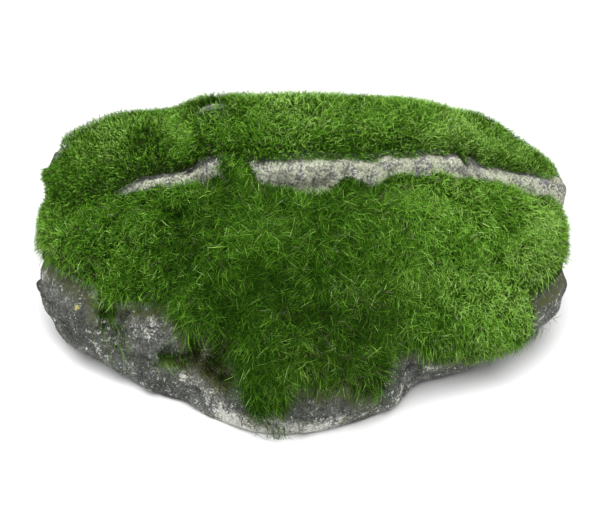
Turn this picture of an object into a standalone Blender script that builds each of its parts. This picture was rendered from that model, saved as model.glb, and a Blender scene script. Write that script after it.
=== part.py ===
"""A mossy rock: one weathered stone that rests on a flat underside, a moss mat on its crown and a second mat on
its flanks, parted by a bare ledge. Metres, +Z up, front towards -Y, origin under the middle of the object.

Every form is a distance from one inner point, the core, as a function of the direction seen from it. The grid
that carries it is an icosphere, thinned by Decimate. A mat is a closed envelope that dips into the stone where
the rock is bare, less the stone itself."""

import math

import bmesh
import bpy
import numpy as np
from mathutils import Matrix

# ---------------------------------------------------------------- driving dimensions
CORE = np.array((0.0, 0.020, 0.065))  # the inner point that all directions are taken from
GRID_LEVEL = 7  # icosphere subdivisions of the working grid, about 2 mm between its points
STONE_TRIANGLES = 3500
MAT_TRIANGLES = {"crown_moss": 1800, "flank_moss": 3600}  # of each envelope, before it is cut
SEAT_GAP = 0.0005  # the moss stands this far off the stone

# Flat faces of the stone: azimuth from the front towards +X and elevation in degrees, distance from the core.
BODY_FACETS = (
    # underside and resting face
    (0, -90, 0.0650),
    (0, -52, 0.1220),
    (33, -43, 0.1210),
    (62, -38, 0.1380),
    (-43, -43, 0.1280),
    (72, -20, 0.1800),
    (-70, -23, 0.1730),
    # ends
    (90, 0, 0.1675),
    (-91, -12, 0.1820),
    (-93, 12, 0.1640),
    (110, 23, 0.1640),
    (-110, 23, 0.1800),
    # front
    (-15, 60, 0.0670),
    (15, 60, 0.0670),
    (-25, 33, 0.0760),
    (22, 33, 0.0760),
    (-55, 35, 0.1140),
    (55, 33, 0.1175),
    (-25, 6, 0.1020),
    (25, 6, 0.1020),
    (-50, -5, 0.1460),
    (52, -3, 0.1410),
    (0, -18, 0.1280),
    # top
    (0, 86, 0.0590),
    (-70, 66, 0.0890),
    (75, 60, 0.0985),
    # back
    (137, 43, 0.1350),
    (-137, 43, 0.1400),
    (180, 52, 0.0835),
    (180, 8, 0.1080),
    (145, 2, 0.1300),
    (-150, 5, 0.1300),
    (180, -38, 0.1050),
    (120, -30, 0.1480),
    (-120, -30, 0.1500),
)
CROWN_FACETS = (
    (0, 74, 0.0735),
    (80, 62, 0.1050),
    (0, 20, 0.0390),
    (75, 25, 0.1210),
    (-75, 40, 0.0870),
    (180, 52, 0.0860),
    (180, 15, 0.0980),
    (135, 15, 0.1150),
    (-135, 15, 0.1050),
    (0, -60, 0.0200),
    (120, -60, 0.0300),
    (-120, -60, 0.0300),
)
EDGE_SHARPNESS = 36  # exponent of the soft minimum: higher keeps the edges crisper

# Weathering of the bare stone: lumps as (size, height, seed), then chips and bedding.
LUMPS = ((0.070, 0.0022, 1), (0.034, 0.0013, 2), (0.016, 0.0006, 3))
CHIPS = 26
CHIP_SEED = 11
CHIP_DEPTH = (0.005, 0.022)  # least and most share of the stone's reach that a chip takes off a corner
LOWEST_CHIP = -50  # degrees of elevation, so that the resting face stays flat
BEDDING_TILT = (-35, 62)  # azimuth and elevation of the direction across the beds
BED_THICKNESS = 0.024
BED_STEP = 0.0030
FADE_HEIGHT = 0.012  # the relief fades out over this height above the resting face
FLAT_HEIGHT = 0.0015  # the rounded underside is cut off flat at this height

# Rounded swellings (positive) and hollows (negative): azimuth, elevation, reach in degrees, height.
SWELLINGS = (
    (76, -8, 13, 0.0050),  # rib at the right end
    (83, -12, 7, 0.0050),
    (60, -26, 11, -0.0050),
    (98, 11, 7, 0.0160),  # the ledge's right end
    (99, 2, 6, -0.0025),  # the flank below it
    (80, -9, 9, 0.0135),  # bare foot of the right end
    (96, -18, 9, 0.0040),
    (-88, -12, 6, 0.0040),  # bare foot of the left end
    (-90, 4, 8, -0.0025),  # the flank above it
    (-104, 22, 11, 0.0045),  # upper corner of the left mound
    (-119, 26, 8, -0.0050),  # its back, which slopes away
    (111, 25, 10, -0.0020),  # right shoulder
    (98, 31, 4, -0.0040),  # crease between it and the crown
    (108, 29, 5, -0.0035),
    (97, 27, 4, -0.0045),  # notch where the crease meets the ledge
    (-122, 53, 7, 0.0080),  # the crown's bare spot
    (-107, 13, 4, 0.0100),  # the left mound's
    (45, -25, 11, -0.0130),  # notches in the lower front edge
    (-42, -28, 6, -0.0040),
    (-22, 4, 9, -0.0070),  # hollow between the front's two lobes
    (-24, -8, 7, -0.0040),
    (-42, 14, 16, 0.0040),
    (15, 22, 18, 0.0030),
)

# The ledge runs right round the crown: azimuth and elevation of its middle in degrees, both about an axis that
# leans back by CROWN_TILT, and half its bare height.
CROWN_TILT = 25
LEDGE = (
    (-180, 38, 0.003),
    (-150, 32, 0.005),
    (-120, 20, 0.003),
    (-100, 12, 0.001),
    (-87, 10, 0.001),
    (-79, 18, 0.002),
    (-73, 24, 0.004),
    (-68, 31, 0.007),
    (-59, 37, 0.006),
    (-46, 43, 0.005),
    (-32, 48, 0.004),
    (-12, 51, 0.007),
    (3, 51, 0.010),
    (15, 51, 0.009),
    (33, 50, 0.007),
    (53, 42, 0.008),
    (64, 36, 0.008),
    (74, 30, 0.009),
    (82, 25, 0.008),
    (87, 19, 0.013),
    (92, 12, 0.013),
    (108, 4, 0.008),
    (125, 14, 0.005),
    (150, 30, 0.004),
)
LEDGE_RISE = 0.004  # the rock above the ledge stands out by this much
LEDGE_WIDTH = 4.0  # degrees over which it does

# Lower edge of the flank moss: azimuth and elevation in degrees.
HEM = (
    (-180, -6),
    (-160, 4),
    (-140, -8),
    (-120, 2),
    (-100, -4),
    (-86, -3),
    (-74, -2),
    (-69, -6),
    (-63, -3),
    (-53, -1),
    (-44, -8),
    (-36, -5),
    (-29, -13),
    (-21, -13),
    (-14, -24),
    (-6, -21),
    (-2, -13),
    (10, -16),
    (25, -22),
    (32, -12),
    (40, -11),
    (50, -17),
    (60, -18),
    (69, -16),
    (73, -4),
    (81, -3),
    (100, -5),
    (120, -16),
    (140, -2),
    (160, -12),
)
# Bare spots in the crown moss: azimuth, elevation and radius in degrees.
BARE_SPOTS = ((-122, 53, 3.9), (-107, 13, 2.6))
MOSS_DEPTH = 0.010
CROWN_ROUNDING = 0.009  # a mat reaches its full depth this far in from its edge
FLANK_ROUNDING = 0.020
HEM_ROUNDING = 0.014
MOUND_SIZE = 0.040
MOUND_HEIGHT = 0.0015
DIP = 0.005  # an envelope lies this deep in the stone where the rock is bare


# ---------------------------------------------------------------- fields over directions
def unit(azimuth, elevation):
    """Direction for an azimuth from the front towards +X and an elevation, both in degrees."""
    a, e = math.radians(azimuth), math.radians(elevation)
    return np.array((math.sin(a) * math.cos(e), -math.cos(a) * math.cos(e), math.sin(e)))


def leaning(directions):
    """The directions as seen about the crown's axis, which leans back from the vertical."""
    c, s = math.cos(math.radians(CROWN_TILT)), math.sin(math.radians(CROWN_TILT))
    x, y, z = directions.T
    return np.stack((x, y * c - z * s, y * s + z * c), axis=1)


def angles(directions):
    """Azimuth and elevation of each direction, in degrees."""
    azimuth = np.degrees(np.arctan2(directions[:, 0], -directions[:, 1]))
    return azimuth, np.degrees(np.arcsin(np.clip(directions[:, 2], -1, 1)))


def smooth_step(x):
    x = np.clip(x, 0, 1)
    return x * x * (3 - 2 * x)


def round_the_stone(azimuth, points, column):
    """A column of a list of points round the stone, at any azimuth, with eased bends between the points."""
    at = np.array([p[0] for p in points], float)
    values = np.array([p[column] for p in points], float)
    at = np.concatenate((at[-1:] - 360, at, at[:1] + 360))
    values = np.concatenate((values[-1:], values, values[:1]))
    place = np.clip(np.searchsorted(at, azimuth, side="right") - 1, 0, len(at) - 2)
    share = smooth_step((azimuth - at[place]) / (at[place + 1] - at[place]))
    return values[place] * (1 - share) + values[place + 1] * share


def lattice_noise(points, size, seed):
    """Smooth noise from -1 to 1: a random value at each corner of cubes this size across, blended between them."""
    scaled = points / size
    cell = np.floor(scaled).astype(np.int64)
    share = scaled - np.floor(scaled)
    share = share**3 * (share * (share * 6 - 15) + 10)
    total = np.zeros(len(points))
    for corner in np.ndindex(2, 2, 2):
        key = (cell + np.array(corner)) @ np.array((73856093, 19349663, 83492791)) + seed * 2654435761
        key = (key ^ (key >> 13)) * 1274126177 & 0x7FFFFFFF
        key = (key ^ (key >> 15)) * 2246822519 & 0x7FFFFFFF
        value = (key ^ (key >> 11)) % 65536 / 32767.5 - 1
        weight = np.prod(np.where(corner, share, 1 - share), axis=1)
        total += value * weight
    return total


def faceted(directions, facets):
    """Distance to the surface that the facets bound: the soft minimum of the distances to their planes."""
    total = np.zeros(len(directions))
    for azimuth, elevation, distance in facets:
        share = np.clip(directions @ unit(azimuth, elevation), 0, None) / distance
        total += share**EDGE_SHARPNESS
    return total ** (-1 / EDGE_SHARPNESS)


def off_the_ledge(directions, radius):
    """Distance along the stone above the bare ledge, and the same below it. Both are negative on the ledge."""
    azimuth, elevation = angles(leaning(directions))
    above = np.radians(elevation - round_the_stone(azimuth, LEDGE, 1)) * radius
    bare = round_the_stone(azimuth, LEDGE, 2)
    return above - bare, -above - bare


def chips():
    """Seeded directions in which a corner is broken off, with the share of the stone's reach that it loses."""
    seeded = np.random.default_rng(CHIP_SEED)
    azimuth = seeded.uniform(-180, 180, CHIPS)
    elevation = seeded.uniform(LOWEST_CHIP, 80, CHIPS)
    return list(zip(azimuth, elevation, seeded.uniform(*CHIP_DEPTH, CHIPS)))


def bedding(points):
    """Beds split off in steps: a sawtooth across the beds, bent by noise, that falls sharply at each joint."""
    across = points @ unit(*BEDDING_TILT) + 0.012 * lattice_noise(points, 0.07, 5)
    share = np.mod(across / BED_THICKNESS, 1)
    strength = np.clip(0.2 + 1.4 * lattice_noise(points, 0.050, 6), 0, 1)
    return BED_STEP * strength * (share - smooth_step((share - 0.85) / 0.15) - 0.45)


def off_the_spots(directions, radius):
    """Distance along the stone to the rim of the nearest bare spot, negative inside it."""
    rims = []
    for azimuth, elevation, size in BARE_SPOTS:
        rims.append(np.arccos(np.clip(directions @ unit(azimuth, elevation), -1, 1)) - math.radians(size))
    return np.min(rims, axis=0) * radius


def sound_radius(directions):
    """The stone before it weathered: body and crown as one form, with its swellings."""
    body = faceted(directions, BODY_FACETS)
    crown = faceted(directions, CROWN_FACETS)
    radius = (body**EDGE_SHARPNESS + crown**EDGE_SHARPNESS) ** (1 / EDGE_SHARPNESS)
    for azimuth, elevation, reach, height in SWELLINGS:
        apart = np.degrees(np.arccos(np.clip(directions @ unit(azimuth, elevation), -1, 1)))
        radius += height * np.exp(-((apart / reach) ** 2))
    return radius


def broken_facets():
    """A plane for each chip, set below the farthest point that the sound stone reaches in that direction."""
    golden = math.pi * (3 - math.sqrt(5))
    count = np.arange(4000)
    height = 1 - (2 * count + 1) / len(count)
    ring = np.sqrt(1 - height**2)
    samples = np.stack((ring * np.cos(golden * count), ring * np.sin(golden * count), height), axis=1)
    surface = samples * sound_radius(samples)[:, None]
    return [(a, e, (surface @ unit(a, e)).max() * (1 - share)) for a, e, share in chips()]


BROKEN = broken_facets()


def stepped_radius(directions):
    """The sound stone less its chips, standing out a little above the ledge."""
    radius = sound_radius(directions)
    broken = faceted(directions, BROKEN)
    radius = (radius**-EDGE_SHARPNESS + broken**-EDGE_SHARPNESS) ** (-1 / EDGE_SHARPNESS)
    azimuth, elevation = angles(leaning(directions))
    above = elevation - round_the_stone(azimuth, LEDGE, 1)
    return radius + LEDGE_RISE * smooth_step(above / LEDGE_WIDTH + 0.5)


def stone_radius(directions):
    """The weathered stone: lumps and beds on the stepped form, fading out towards the resting face."""
    radius = stepped_radius(directions)
    points = directions * radius[:, None]
    relief = bedding(points)
    for size, lump, seed in LUMPS:
        relief = relief + lump * lattice_noise(points, size, seed)
    return radius + relief * smooth_step((points[:, 2] + CORE[2]) / FADE_HEIGHT)


def edge_share(inside, rounding):
    """From 0 at a mat's edge to 1 at this distance in, as a quarter of an ellipse."""
    share = np.clip(inside / rounding, 0, 1)
    return np.sqrt(share * (2 - share))


def envelope(directions, share, inside):
    """A mat's closed surface: its share of the full depth where it grows, and a dip into the stone elsewhere."""
    stone = stone_radius(directions)
    full = stepped_radius(directions)
    mounds = MOUND_HEIGHT * lattice_noise(directions * full[:, None], MOUND_SIZE, 4)
    grown = stone + (full + MOSS_DEPTH + mounds - stone) * share
    return np.where(inside > 0, grown, stone + np.clip(inside * 2, -DIP, 0))


def crown_moss_radius(directions):
    radius = stepped_radius(directions)
    above, _ = off_the_ledge(directions, radius)
    inside = np.minimum(above, off_the_spots(directions, radius))
    return envelope(directions, edge_share(inside, CROWN_ROUNDING), inside)


def flank_moss_radius(directions):
    radius = stepped_radius(directions)
    azimuth, elevation = angles(directions)
    _, below = off_the_ledge(directions, radius)
    over_hem = np.radians(elevation - round_the_stone(azimuth, HEM, 1)) * radius
    share = edge_share(below, FLANK_ROUNDING) * edge_share(over_hem, HEM_ROUNDING)
    return envelope(directions, share, np.minimum(below, over_hem))


# ---------------------------------------------------------------- objects
def material(name, colour, roughness):
    made = bpy.data.materials.new(name)
    made.use_nodes = True
    shader = made.node_tree.nodes["Principled BSDF"]
    shader.inputs["Base Color"].default_value = (*colour, 1)
    shader.inputs["Roughness"].default_value = roughness
    shader.inputs["Metallic"].default_value = 0
    return made


def new_collection(name):
    made = bpy.data.collections.new(name)
    bpy.context.scene.collection.children.link(made)
    return made


def new_object(name, shape, collection):
    """A new object in this collection, holding what the bmesh holds."""
    mesh = bpy.data.meshes.new(name)
    shape.to_mesh(mesh)
    shape.free()
    made = bpy.data.objects.new(name, mesh)
    collection.objects.link(made)
    return made


def grown_from_core(name, radius_of, triangles, collection):
    """An icosphere about the core whose points move out to the form's surface, thinned to about this many
    triangles, most of them where the form bends."""
    shape = bmesh.new()
    bmesh.ops.create_icosphere(shape, subdivisions=GRID_LEVEL, radius=1)
    made = new_object(name, shape, collection)
    directions = np.empty(len(made.data.vertices) * 3, np.float32)
    made.data.vertices.foreach_get("co", directions)
    directions = directions.reshape(-1, 3).astype(float)
    directions /= np.linalg.norm(directions, axis=1)[:, None]
    places = CORE + directions * radius_of(directions)[:, None]
    made.data.vertices.foreach_set("co", places.astype(np.float32).ravel())
    thin = made.modifiers.new("thin", "DECIMATE")
    thin.ratio = triangles / len(made.data.polygons)
    return made


def cut(made, name, cutter):
    modifier = made.modifiers.new(name, "BOOLEAN")
    modifier.operation = "DIFFERENCE"
    modifier.solver = "EXACT"
    modifier.use_self = True
    modifier.object = cutter


def as_cutter(made):
    made.hide_render = True
    made.display_type = "WIRE"
    return made


def ground(collection):
    """A block whose top cuts the stone's underside off flat."""
    shape = bmesh.new()
    middle = Matrix.Translation((0, 0, FLAT_HEIGHT - 0.05))
    bmesh.ops.create_cube(shape, size=1, matrix=middle @ Matrix.Diagonal((0.6, 0.6, 0.1, 1)))
    return as_cutter(new_object("ground", shape, collection))


def build_stone(rock, cutters):
    stone = grown_from_core("stone", stone_radius, STONE_TRIANGLES, rock)
    cut(stone, "flat_underside", ground(cutters))
    return stone


def build_seat(cutters):
    """The stone swollen by the seat gap. It hollows the underside of each mat."""
    seat = as_cutter(grown_from_core("seat", stone_radius, STONE_TRIANGLES, cutters))
    swell = seat.modifiers.new("swell", "DISPLACE")
    swell.mid_level = 0
    swell.strength = SEAT_GAP
    return seat


def build_mat(name, radius_of, seat, rock):
    mat = grown_from_core(name, radius_of, MAT_TRIANGLES[name], rock)
    cut(mat, "seat", seat)
    return mat


def stand_on_origin(visible):
    """Moves every object so that the origin is under the middle of the visible ones, on the plane they rest on."""
    bpy.context.view_layer.update()
    graph = bpy.context.evaluated_depsgraph_get()
    corners = np.array([corner[:] for made in visible for corner in made.evaluated_get(graph).bound_box])
    low, high = corners.min(axis=0), corners.max(axis=0)
    shift = Matrix.Translation((-(low[0] + high[0]) / 2, -(low[1] + high[1]) / 2, -low[2]))
    for made in bpy.data.objects:
        made.data.transform(shift)


def main():
    for old in list(bpy.data.objects):
        bpy.data.objects.remove(old)
    rock = new_collection("mossy_rock")
    cutters = new_collection("cutters")
    stone = build_stone(rock, cutters)
    seat = build_seat(cutters)
    crown = build_mat("crown_moss", crown_moss_radius, seat, rock)
    flank = build_mat("flank_moss", flank_moss_radius, seat, rock)
    stone.data.materials.append(material("weathered_stone", (0.16, 0.17, 0.17), 0.85))
    crown.data.materials.append(material("crown_moss", (0.12, 0.30, 0.03), 0.95))
    flank.data.materials.append(material("flank_moss", (0.09, 0.25, 0.03), 0.95))
    stand_on_origin((stone, crown, flank))


if __name__ == "__main__":
    main()
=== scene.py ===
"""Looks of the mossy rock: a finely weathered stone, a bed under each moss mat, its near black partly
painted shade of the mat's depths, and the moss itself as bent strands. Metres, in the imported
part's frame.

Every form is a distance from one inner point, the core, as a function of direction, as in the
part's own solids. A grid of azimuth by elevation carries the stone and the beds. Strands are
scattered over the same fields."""

import math

import bpy
import numpy as np
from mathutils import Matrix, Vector


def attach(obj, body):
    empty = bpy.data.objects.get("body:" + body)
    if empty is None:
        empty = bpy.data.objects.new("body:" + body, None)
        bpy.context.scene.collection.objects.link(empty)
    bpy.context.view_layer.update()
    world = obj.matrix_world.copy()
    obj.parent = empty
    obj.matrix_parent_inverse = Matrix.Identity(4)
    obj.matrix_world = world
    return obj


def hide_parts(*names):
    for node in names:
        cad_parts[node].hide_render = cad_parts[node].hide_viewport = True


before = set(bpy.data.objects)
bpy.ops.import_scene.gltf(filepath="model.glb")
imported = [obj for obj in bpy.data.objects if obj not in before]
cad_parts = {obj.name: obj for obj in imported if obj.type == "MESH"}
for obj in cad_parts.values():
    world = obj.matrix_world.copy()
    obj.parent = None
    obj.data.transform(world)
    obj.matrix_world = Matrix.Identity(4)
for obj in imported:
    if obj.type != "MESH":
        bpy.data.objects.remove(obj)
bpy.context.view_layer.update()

# -------- the part's own driving values
CORE = np.array((0.0, 0.020, 0.065))  # the inner point, before the part was stood on its origin
SHIFT = np.array((-0.000600, -0.019616, -0.0015))  # the move that stood it there
# Facets: azimuth, elevation, distance. Swellings: azimuth, elevation, reach, height.
BODY_FACETS = (
    (0, -90, 0.0650),
    (0, -52, 0.1220),
    (33, -43, 0.1210),
    (62, -38, 0.1380),
    (-43, -43, 0.1280),
    (72, -20, 0.1800),
    (-70, -23, 0.1730),
    (90, 0, 0.1675),
    (-91, -12, 0.1820),
    (-93, 12, 0.1640),
    (110, 23, 0.1640),
    (-110, 23, 0.1800),
    (-15, 60, 0.0670),
    (15, 60, 0.0670),
    (-25, 33, 0.0760),
    (22, 33, 0.0760),
    (-55, 35, 0.1140),
    (55, 33, 0.1175),
    (-25, 6, 0.1020),
    (25, 6, 0.1020),
    (-50, -5, 0.1460),
    (52, -3, 0.1410),
    (0, -18, 0.1280),
    (0, 86, 0.0590),
    (-70, 66, 0.0890),
    (75, 60, 0.0985),
    (137, 43, 0.1350),
    (-137, 43, 0.1400),
    (180, 52, 0.0835),
    (180, 8, 0.1080),
    (145, 2, 0.1300),
    (-150, 5, 0.1300),
    (180, -38, 0.1050),
    (120, -30, 0.1480),
    (-120, -30, 0.1500),
)
CROWN_FACETS = (
    (0, 74, 0.0735),
    (80, 62, 0.1050),
    (0, 20, 0.0390),
    (75, 25, 0.1210),
    (-75, 40, 0.0870),
    (180, 52, 0.0860),
    (180, 15, 0.0980),
    (135, 15, 0.1150),
    (-135, 15, 0.1050),
    (0, -60, 0.0200),
    (120, -60, 0.0300),
    (-120, -60, 0.0300),
)
EDGE_SHARPNESS = 36
LUMPS = ((0.070, 0.0022, 1), (0.034, 0.0013, 2), (0.016, 0.0006, 3))
CHIPS = 26
CHIP_SEED = 11
CHIP_DEPTH = (0.005, 0.022)
LOWEST_CHIP = -50
BEDDING_TILT = (-35, 62)
BED_THICKNESS = 0.024
BED_STEP = 0.0030
FADE_HEIGHT = 0.012
SWELLINGS = (
    (76, -8, 13, 0.0050),
    (83, -12, 7, 0.0050),
    (60, -26, 11, -0.0050),
    (98, 11, 7, 0.0160),
    (99, 2, 6, -0.0025),
    (80, -9, 9, 0.0135),
    (96, -18, 9, 0.0040),
    (-88, -12, 6, 0.0040),
    (-90, 4, 8, -0.0025),
    (-104, 22, 11, 0.0045),
    (-119, 26, 8, -0.0050),
    (111, 25, 10, -0.0020),
    (98, 31, 4, -0.0040),
    (108, 29, 5, -0.0035),
    (97, 27, 4, -0.0045),
    (-122, 53, 7, 0.0080),
    (-107, 13, 4, 0.0100),
    (45, -25, 11, -0.0130),
    (-42, -28, 6, -0.0040),
    (-22, 4, 9, -0.0070),
    (-24, -8, 7, -0.0040),
    (-42, 14, 16, 0.0040),
    (15, 22, 18, 0.0030),
)
CROWN_TILT = 25
LEDGE = (  # azimuth, elevation, half width, about the leaning axis
    (-180, 38, 0.003),
    (-150, 32, 0.005),
    (-120, 20, 0.003),
    (-100, 12, 0.001),
    (-87, 10, 0.001),
    (-79, 18, 0.002),
    (-73, 24, 0.004),
    (-68, 31, 0.007),
    (-59, 37, 0.006),
    (-46, 43, 0.005),
    (-32, 48, 0.004),
    (-12, 51, 0.007),
    (3, 51, 0.010),
    (15, 51, 0.009),
    (33, 50, 0.007),
    (53, 42, 0.008),
    (64, 36, 0.008),
    (74, 30, 0.009),
    (82, 25, 0.008),
    (87, 19, 0.013),
    (92, 12, 0.013),
    (108, 4, 0.008),
    (125, 14, 0.005),
    (150, 30, 0.004),
)
LEDGE_RISE = 0.004
LEDGE_WIDTH = 4.0
HEM = (  # azimuth, elevation
    (-180, -6),
    (-160, 4),
    (-140, -8),
    (-120, 2),
    (-100, -4),
    (-86, -3),
    (-74, -2),
    (-69, -6),
    (-63, -3),
    (-53, -1),
    (-44, -8),
    (-36, -5),
    (-29, -13),
    (-21, -13),
    (-14, -24),
    (-6, -21),
    (-2, -13),
    (10, -16),
    (25, -22),
    (32, -12),
    (40, -11),
    (50, -17),
    (60, -18),
    (69, -16),
    (73, -4),
    (81, -3),
    (100, -5),
    (120, -16),
    (140, -2),
    (160, -12),
)
BARE_SPOTS = ((-122, 53, 3.9), (-107, 13, 2.6))  # azimuth, elevation, size
MOSS_DEPTH = 0.010
CROWN_ROUNDING = 0.009
FLANK_ROUNDING = 0.020
HEM_ROUNDING = 0.014
MOUND_SIZE = 0.040
MOUND_HEIGHT = 0.0015
DIP = 0.005

# -------- values of the looks
STONE_GRID = (460, 208)  # columns and rows
CROWN_BED_GRID = (190, 66)
FLANK_BED_GRID = (260, 90)
FIELD_GRID = (900, 440)  # the grid that strands are scattered over
BED_SHARE = 0.42  # a bed's height as a share of the mat's depth
BED_INSET = 0.0065  # a bed ends this far in from the mat's edge

# Split edges of the slabs on the bare front: azimuth, elevation, reach in degrees, turn of the edge, drop.
SLABS = (
    (-56, -6, 9, 78, 0.0022),
    (-52, -17, 9, 110, 0.0020),
    (-38, -22, 9, 95, 0.0016),
    (22, -24, 8, 80, 0.0012),
)
# Size, height and seed of the broken facets on the bare foot, and of the fine lumps all over.
BROKEN_FACES = ((0.030, 0.0040, 27), (0.012, 0.0009, 34))
FINE_LUMPS = ((0.011, 0.0010, 21), (0.0055, 0.00055, 22), (0.0028, 0.00030, 23))

CROWN_STRANDS = 188000
FLANK_STRANDS = 278000
TRIANGLES_PER_PIECE = 190000
CROWN_WIDTH = 0.00025
FLANK_WIDTH = 0.00026
CROWN_LENGTH = (0.0038, 0.0082)
FLANK_LENGTH = (0.0070, 0.0138)
CURL = 0.38  # sideways bend of a strand as a share of its length
CROWN_TONES = (0.12, 1.0)  # painted shade of the strands below and painted light of those on top, as tip heights on the ramp
FLANK_TONES = (0.035, 0.67)
TOP_SHARE = 0.24  # this share of the strands lies on top of the rest: longer, and brighter by painted light
TOP_GROWTH = 1.25
LEDGE_BAND = 0.014  # strands shorten by up to half from this far in to the ledge
HEM_BAND = 0.022  # strands change from this far in to the hem
HEM_GROWTH = 1.4  # where they are this much longer
FRONT_HEM_GROWTH = 0.72  # but shorter from the front round to +X and the back
FRONT_HEM_START = -26  # azimuth
HEM_BROWN = 0.28  # this share of the hem's strands is dead
SIDE_SHORTENING = 0.40  # strands at the two ends are shorter by up to this share
SIDE_START = 0.62  # from this share of the way out to the sides
DEAD_SHARE = 0.04  # of all strands, before patches
PALE_SHARE = 0.05  # of all strands, and they show on top alone
DEAD_TINTS = (0.02, 0.20)
LIVE_TINTS = (0.24, 0.80)
PALE_TINTS = (0.66, 0.88)
MIDDLE_TINT = 0.46
TONE_SPREAD = 0.50  # from strand to strand, as a share
TINT_SPREAD = 0.12
PAINTED_EDGE_LIGHT = 0.70  # painted light: strands beside the ledge's upper edge are lighter by up to this share
EDGE_WAVER = 0.0022  # a mat's edge wanders by this much
CROWN_TAPER = 0.012  # the crown's moss reaches its full depth this far in from the ledge
# Roots keep this far in from the ledge, by azimuth about the crown's leaning axis.
CROWN_CLEARANCE = (
    (-180, 0.002),
    (-120, -0.002),
    (-88, -0.003),
    (-80, -0.003),
    (-74, 0.001),
    (-69, 0.0055),
    (-58, 0.0055),
    (-46, 0.002),
    (-10, -0.001),
    (50, -0.002),
    (74, 0.0),
    (84, 0.0),
    (94, -0.003),
    (130, 0.002),
)
FLANK_CLEARANCE = (
    (-180, 0.0),
    (-120, -0.003),
    (-88, -0.005),
    (-80, -0.005),
    (-74, -0.002),
    (-68, 0.0),
    (-57, 0.0),
    (-46, -0.001),
    (60, -0.001),
    (76, 0.001),
    (85, 0.003),
    (94, 0.003),
    (110, 0.0),
)
SPOT_CLEARANCE = 0.001
HEM_CLEARANCE = 0.0090  # roots keep this far in from the hem, which they hang down to
TUFT_SIZE = 0.0060  # strands lean together in tufts this far apart
STRAY_TUFT_DEPTH = 0.0055
STRAY_TUFT_LENGTH = (0.008, 0.017)
MERGED = (-95, 11, 13, 0.0075)  # both mats meet over the ledge here: azimuth, elevation, reach, depth
BRIDGE = (-67.3, 60.2, 5.0)  # moss grows right across the ledge here: azimuth, elevation, reach

# Patches as (azimuth, elevation, reach in degrees, amount).
THIN_PATCHES = (
    (26, 67, 5.0, 1.0),
    (98, 29, 3, 0.9),
    (-121, 51, 5.0, 1.0),
    (-107, 13, 2.5, 0.5),
    (54, 50, 6, 0.45),
    (-37, -10, 6, 0.6),
    (-30, -12, 5, 0.5),
    (29, 11, 6, 0.25),
)
BROWN_PATCHES = (
    (-37, -9, 8, 0.55),
    (-30, -12, 6, 0.5),
    (-24, -14, 5, 0.35),
    (29, 11, 10, 0.30),
    (5, 8, 12, 0.26),
    (54, 50, 8, 0.20),
    (12, -18, 14, 0.50),
    (50, -16, 9, 0.22),
)
LIGHT_AND_SHADE_PATCHES = (  # painted light and shade added to the strands' tone: lighter on rims, ridges and lit shoulders, darker on the front and in grooves
    (-99, 21, 13, 0.80),
    (-122, 41, 9, 1.2),
    (-90, 12, 14, 0.85),
    (-96, 4, 14, 1.05),
    (-78, 20, 7, 0.50),
    (-72, 42, 7, 0.60),
    (-90, 57, 9, 0.70),
    (98, 6, 13, 2.0),
    (-22, 6, 10, -0.55),
    (-15, 26, 18, -0.32),
    (-63, 27, 13, -0.30),
    (16, 9, 17, -0.36),
    (40, 12, 15, -0.34),
    (0, 0, 22, -0.36),
    (79, 29, 15, 1.20),
    (82, 18, 9, 0.80),
    (66, 0, 8, 0.60),
    (66, -9, 8, 1.00),
    (76, -6, 9, 2.2),
    (83, 9, 4, -0.45),
    (77, 2, 3.5, -0.45),
    (110, 28, 14, 2.0),
    (112, 50, 17, 1.35),
    (95, 23, 5, 0.8),
    (140, 55, 16, 0.7),
    (-77, 37, 6, 0.9),
    (-112, 24, 12, 0.50),
    (180, 62, 26, 0.70),
)
# Tint shifts: partly real colour, partly painted light that turns the strands yellow green on the rims and
# lit shoulders.
TINT_AND_RIM_LIGHT_PATCHES = (
    (-80, 10, 34, -0.11),
    (0, 30, 22, -0.05),
    (24, -8, 22, 0.05),
    (72, 0, 16, 0.18),
    (110, 28, 14, 0.18),
    (-112, 24, 10, 0.18),
    (180, 62, 24, 0.22),
    (100, 42, 20, 0.12),
    (79, 29, 15, 0.08),
    (-96, 4, 12, 0.20),
    (98, 6, 12, 0.14),
    (-122, 41, 9, 0.12),
)
# How much more the moss stands out here, in metres.
DEPTH_PATCHES = (
    (-108, 26, 14, 0.0015),
    (180, 72, 30, 0.0018),
    (-116, 50, 5, -0.0030),
)
STONE_PATCHES = ((-88, -9, 7, 0.0010),)  # and the bare stone
LICHEN_PATCHES = (
    (-41, -18, 2.4, 0.7),
    (-36, -19, 2.0, 0.5),
    (-32.5, -22, 2.2, 0.6),
    (-55, -4, 2.5, 0.6),
    (-51, -6, 2.0, 0.6),
    (-24, -29, 4.0, 0.5),
    (36, -25, 3.0, 0.35),
    (52, -19, 3.0, 0.4),
    (63, -19, 3.0, 0.7),
    (-86, -4, 2.0, 0.9),
)
YELLOW_PATCHES = ((-73.5, -5.5, 0.9, 1.2),)
# Stray tufts on the bare front: azimuth, elevation, reach, share of dead strands, strands.
TUFTS = (
    (-67.5, -4.0, 1.8, 0.10, 240),
    (-66.5, -7.5, 1.3, 0.25, 70),
    (-48.5, -12.0, 2.2, 0.25, 130),
    (-62, -8, 4.0, 0.3, 60),
    (-44, -12, 3.5, 0.4, 130),
    (-39, -8, 3.2, 0.30, 380),
    (-32, -11, 3.2, 0.30, 420),
    (-27, -15, 3.0, 0.25, 260),
    (-8, -26, 5.0, 0.3, 70),
    (84, -20, 5.0, 0.35, 300),
)


# -------- fields over directions, as in the part
def unit(azimuth, elevation):
    """Direction for an azimuth from the front towards +X and an elevation, both in degrees."""
    a, e = math.radians(azimuth), math.radians(elevation)
    return np.array((math.sin(a) * math.cos(e), -math.cos(a) * math.cos(e), math.sin(e)))


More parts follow.
